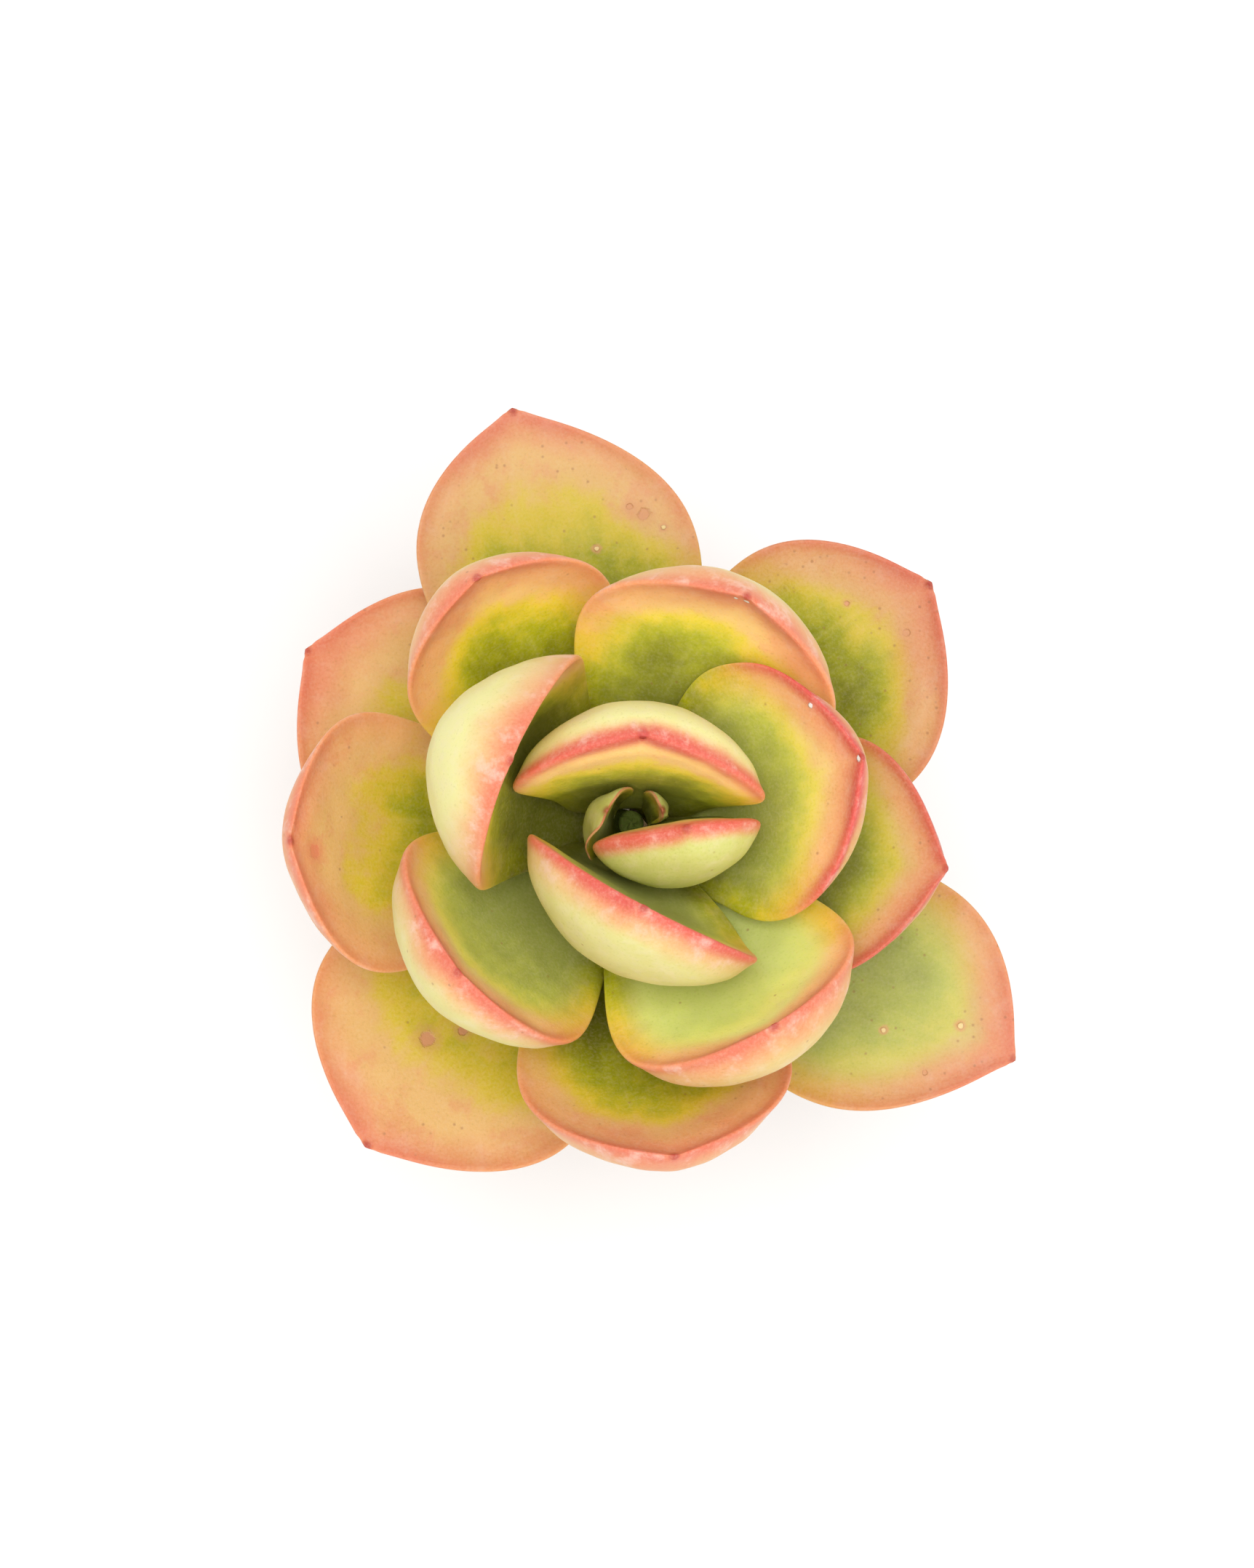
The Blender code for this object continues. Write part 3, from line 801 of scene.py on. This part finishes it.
def potMaterial():
    colours, pattern = potColours, potPattern
    material, tree, shader, coordinates = newMaterial("terracotta", potClay)
    place = tree.nodes.new("ShaderNodeSeparateXYZ")
    tree.links.new(coordinates, place.inputs[0])
    rise = place.outputs["Z"]
    broad = noiseNode(tree, coordinates, pattern["broadSize"], 3)
    medium = noiseNode(tree, coordinates, pattern["mediumSize"], 4, 0.65)
    grain = noiseNode(tree, coordinates, pattern["grainSize"], 3, 0.7)
    streak = noiseNode(tree, coordinates, pattern["streakSize"], 3, 0.6,
                       stretch=pattern["streakStretch"])
    colour = blendColour(tree, between(tree, broad, 0.35, 0.65), colours["clay"], colours["light"])
    streaked = between(tree, streak, 0.45, 0.75, 0.0, 0.35)
    colour = blendColour(tree, streaked, colour, colours["dark"])
    wandering = total(tree, rise, product(tree, broad, pattern["saltWander"]))
    salty = between(tree, wandering, pattern["saltFull"], pattern["saltEnd"], 1.0, 0.0)
    salty = product(tree, salty, between(tree, medium, 0.42, 0.68, 0.05, 0.6))
    colour = blendColour(tree, salty, colour, colours["salt"])
    rimSalt = between(tree, rise, potHigh.z - pattern["rimSalt"], potHigh.z, 0.0, 0.35)
    rimSalt = product(tree, rimSalt, between(tree, medium, 0.4, 0.6))
    colour = blendColour(tree, rimSalt, colour, colours["salt"])
    darkGrain = between(tree, grain, 0.58, 0.75, 0.0, 0.5)
    colour = blendColour(tree, darkGrain, colour, colours["dark"])
    lightGrain = between(tree, grain, 0.42, 0.28, 0.0, 0.4)
    colour = blendColour(tree, lightGrain, colour, colours["light"])
    tree.links.new(colour, shader.inputs["Base Color"])
    tree.links.new(between(tree, medium, 0.3, 0.7, 0.75, 0.95), shader.inputs["Roughness"])
    relief = total(tree, product(tree, grain, 0.6), medium)
    addBump(tree, shader, relief, potBump["depth"], potBump["strength"])
    return material


def makePot():
    # throwing rings on the upright faces, a slow unevenness and small pits all over but the foot
    pot = turnSection("pot_clay", "pot", turnedParts["potSteps"], turnedParts["pointGap"])
    points, normals = readPoints(pot.data), readNormals(pot.data)
    look = potRelief
    height = look["wheelRing"] * np.sin(points[:, 2] / look["ringGap"] * 2 * math.pi)
    height *= np.abs(normals[:, 2]) < look["flatFrom"]
    height += look["uneven"] * noiseAt(points, look["unevenSize"], Vector((3, 1, 4)))
    height += look["pit"] * noiseAt(points, look["pitSize"], Vector((1, 5, 9)))
    height -= look["uneven"] * 0.5
    height *= fade(*look["footKeep"], points[:, 2])
    writePoints(pot.data, points + normals * height[:, None])
    putOn(pot, potMaterial(), "terracotta", "pot")


makePot()
print("pot made")


soilLook = {"clod": 0.9 * mm, "clodSize": 4 * mm, "edgeKeep": 0.6 * mm, "edgeFade": 2 * mm,
            "topDepth": (3 * mm, 2 * mm), "crumbs": 620, "stones": 60,
            "crumbSize": (0.25 * mm, 0.75 * mm), "stoneSize": (0.7 * mm, 1.35 * mm),
            "crumbRough": 0.55, "crumbRise": 0.2}
soilColours = {"dark": (0.035, 0.022, 0.013), "brown": (0.11, 0.065, 0.035),
               "straw": (0.34, 0.24, 0.13), "pale": (0.62, 0.60, 0.55)}
soilEarth = {"Roughness": 0.95, "Specular IOR Level": 0.2}
soilBump = {"depth": 0.25 * mm, "strength": 1.0}


def makeSoilMaterial(name, tinted):
    colours = soilColours
    material, tree, shader, coordinates = newMaterial(name, soilEarth)
    medium = noiseNode(tree, coordinates, 2.4 * mm, 4, 0.7)
    grain = noiseNode(tree, coordinates, 0.3 * mm, 4, 0.7)
    colour = blendColour(tree, between(tree, medium, 0.35, 0.65), colours["dark"], colours["brown"])
    if tinted:
        # each crumb has its own tint: most are earth, some straw and a few pale stone
        tint = attribute(tree, "tint")
        strawShare = between(tree, tint, 0.55, 0.80, 0.0, 0.8)
        colour = blendColour(tree, strawShare, colour, colours["straw"])
        colour = blendColour(tree, between(tree, tint, 0.88, 0.92), colour, colours["pale"])
    grainShare = between(tree, grain, 0.55, 0.8, 0.0, 0.5)
    colour = blendColour(tree, grainShare, colour, colours["straw"])
    tree.links.new(colour, shader.inputs["Base Color"])
    tree.links.new(between(tree, grain, 0.3, 0.7, 0.85, 1.0), shader.inputs["Roughness"])
    addBump(tree, shader, grain, soilBump["depth"], soilBump["strength"])
    return material


def makeSoil():
    # clods on the top face, none by the pot's wall
    soil = turnSection("soil_bed", "soil", turnedParts["soilSteps"], turnedParts["pointGap"])
    points = readPoints(soil.data)
    outer = np.hypot(points[:, 0], points[:, 1])
    edge = fade(0, soilLook["edgeFade"], soilHigh.x - soilLook["edgeKeep"] - outer)
    topFrom, topFull = (soilHigh.z - depth for depth in soilLook["topDepth"])
    top = fade(topFrom, topFull, points[:, 2])
    clods = noiseAt(points, soilLook["clodSize"], Vector((2, 7, 1)))
    clods += 0.5 * noiseAt(points, soilLook["clodSize"] / 3, Vector((8, 2, 8)))
    points[:, 2] += soilLook["clod"] * clods * edge * top
    writePoints(soil.data, points)
    putOn(soil, makeSoilMaterial("soilFine", False), "soil", "soil")
    return soil


def makeCrumb(size, subdivisions, place):
    deselectAll()
    bpy.ops.mesh.primitive_ico_sphere_add(subdivisions=subdivisions, radius=size)
    crumb = bpy.context.object
    crumb.name = "crumb"
    points = readPoints(crumb.data)
    offset = Vector((random.uniform(0, 90), random.uniform(0, 90), random.uniform(0, 90)))
    points *= (1 + soilLook["crumbRough"] * noiseAt(points, size * 1.1, offset))[:, None]
    points *= np.array([1, random.uniform(0.6, 1), random.uniform(0.45, 0.8)])
    turn = Matrix.Rotation(random.uniform(-0.5, 0.5), 3, "X")
    turn = Matrix.Rotation(random.uniform(0, 2 * math.pi), 3, "Z") @ turn
    writePoints(crumb.data, points @ np.array(turn.transposed()) + np.array(place))
    tint = crumb.data.attributes.new("tint", "FLOAT", "POINT")
    shade = random.random()
    tint.data.foreach_set("value", [shade] * len(points))
    return crumb


def makeCrumbs(soil):
    # crumbs and stones dropped on the soil, clear of the stem
    crumbs = []
    bpy.context.view_layer.update()
    clear = (stemHigh.x - stemLow.x) / 2
    for index in range(soilLook["crumbs"] + soilLook["stones"]):
        isStone = index >= soilLook["crumbs"]
        low, high = soilLook["stoneSize" if isStone else "crumbSize"]
        size = random.uniform(low, high)
        while True:
            reach = (soilHigh.x - soilLook["edgeKeep"] - size * 1.3) * math.sqrt(random.random())
            angle = random.uniform(0, 2 * math.pi)
            x, y = reach * math.cos(angle), reach * math.sin(angle)
            if math.hypot(x - heart.x, y - heart.y) > clear + size:
                break
        spot = soil.ray_cast(Vector((x, y, potHigh.z)), Vector((0, 0, -1)))[1]
        height = spot.z + size * soilLook["crumbRise"]
        crumbs.append(makeCrumb(size, 2 if isStone else 1, (x, y, height)))
    deselectAll()
    for crumb in crumbs:
        crumb.select_set(True)
    bpy.context.view_layer.objects.active = crumbs[0]
    bpy.ops.object.join()
    bed = bpy.context.object
    bed.name = bed.data.name = "soil_crumbs"
    putOn(bed, makeSoilMaterial("soilCrumb", True), "soil")


soilBed = makeSoil()
makeCrumbs(soilBed)
print("soil made")


# leaf scars wind up the stem, and from the pot's rim it turns green over greenReach
stemLook = {"scar": 0.22 * mm, "scarGap": 1.25 * mm, "scarTurns": 1.5,
            "rough": 0.16 * mm, "roughSize": 1.6 * mm, "greenReach": 12 * mm}
stemColours = {"bark": (0.20, 0.13, 0.065), "light": (0.42, 0.33, 0.18),
               "green": (0.09, 0.12, 0.012)}
stemBark = {"Roughness": 0.8, "Specular IOR Level": 0.3}
stemBump = {"depth": 0.2 * mm, "strength": 0.8}


def stemMaterial():
    colours = stemColours
    material, tree, shader, coordinates = newMaterial("stemSkin", stemBark)
    place = tree.nodes.new("ShaderNodeSeparateXYZ")
    tree.links.new(coordinates, place.inputs[0])
    medium = noiseNode(tree, coordinates, 1.2 * mm, 4, 0.6)
    flake = noiseNode(tree, coordinates, 0.5 * mm, 3, 0.6, stretch=(1, 1, 3))
    colour = blendColour(tree, between(tree, medium, 0.35, 0.7), colours["bark"], colours["light"])
    young = between(tree, place.outputs["Z"], potHigh.z, potHigh.z + stemLook["greenReach"])
    colour = blendColour(tree, young, colour, colours["green"])
    flakeShare = between(tree, flake, 0.55, 0.8, 0.0, 0.6)
    colour = blendColour(tree, flakeShare, colour, colours["bark"])
    tree.links.new(colour, shader.inputs["Base Color"])
    tree.links.new(between(tree, flake, 0.3, 0.7, 0.65, 0.9), shader.inputs["Roughness"])
    addBump(tree, shader, total(tree, medium, flake), stemBump["depth"], stemBump["strength"])
    return material


def makeStem():
    stem = turnSection("stem_skin", "stem", turnedParts["stemSteps"], turnedParts["stemGap"])
    points, normals = readPoints(stem.data), readNormals(stem.data)
    turn = np.arctan2(points[:, 1] - heart.y, points[:, 0] - heart.x)
    rise = points[:, 2] / stemLook["scarGap"]
    wave = np.sin((rise + stemLook["scarTurns"] * turn / math.pi) * 2 * math.pi)
    height = -stemLook["scar"] * fade(0.2, 1.0, wave)
    height += stemLook["rough"] * noiseAt(points, stemLook["roughSize"], Vector((5, 5, 2)))
    writePoints(stem.data, points + normals * height[:, None])
    putOn(stem, stemMaterial(), "stem", "stem")


makeStem()
print("stem made")


# floor and light

stageSetup = {"floorSize": 12.0, "floorGap": 0.05 * mm, "worldTone": (1.0, 1.0, 1.0),
              "worldStrength": 0.80}
floorPaint = {"Roughness": 0.9, "Base Color": (0.88, 0.88, 0.875, 1)}
lamps = {"keyLight": {"place": (-0.10, 0.02, 0.83), "size": 0.5, "power": 3.5},
         "fillLight": {"place": (0.35, -0.42, 0.65), "size": 0.8, "power": 1.9}}


def makeStage():
    deselectAll()
    floorHeight = potLow.z - stageSetup["floorGap"]
    bpy.ops.mesh.primitive_plane_add(size=stageSetup["floorSize"], location=(0, 0, floorHeight))
    bpy.ops.object.transform_apply(location=True, rotation=False, scale=False)
    floor = bpy.context.object
    floor.name = "floor"
    floor.data.materials.append(newMaterial("floorPaint", floorPaint)[0])
    world = bpy.data.worlds.new("studio")
    world.use_nodes = True
    background = world.node_tree.nodes["Background"]
    background.inputs["Color"].default_value = (*stageSetup["worldTone"], 1)
    background.inputs["Strength"].default_value = stageSetup["worldStrength"]
    bpy.context.scene.world = world
    for name, setup in lamps.items():
        place = Vector(setup["place"])
        lamp = bpy.data.lights.new(name, "AREA")
        lamp.size = setup["size"]
        lamp.energy = setup["power"]
        holder = bpy.data.objects.new(name, lamp)
        holder.location = place
        holder.rotation_euler = (heart - place).to_track_quat("-Z", "Y").to_euler()
        bpy.context.scene.collection.objects.link(holder)
    bpy.context.scene.view_settings.view_transform = "Standard"


makeStage()
print("stage set")
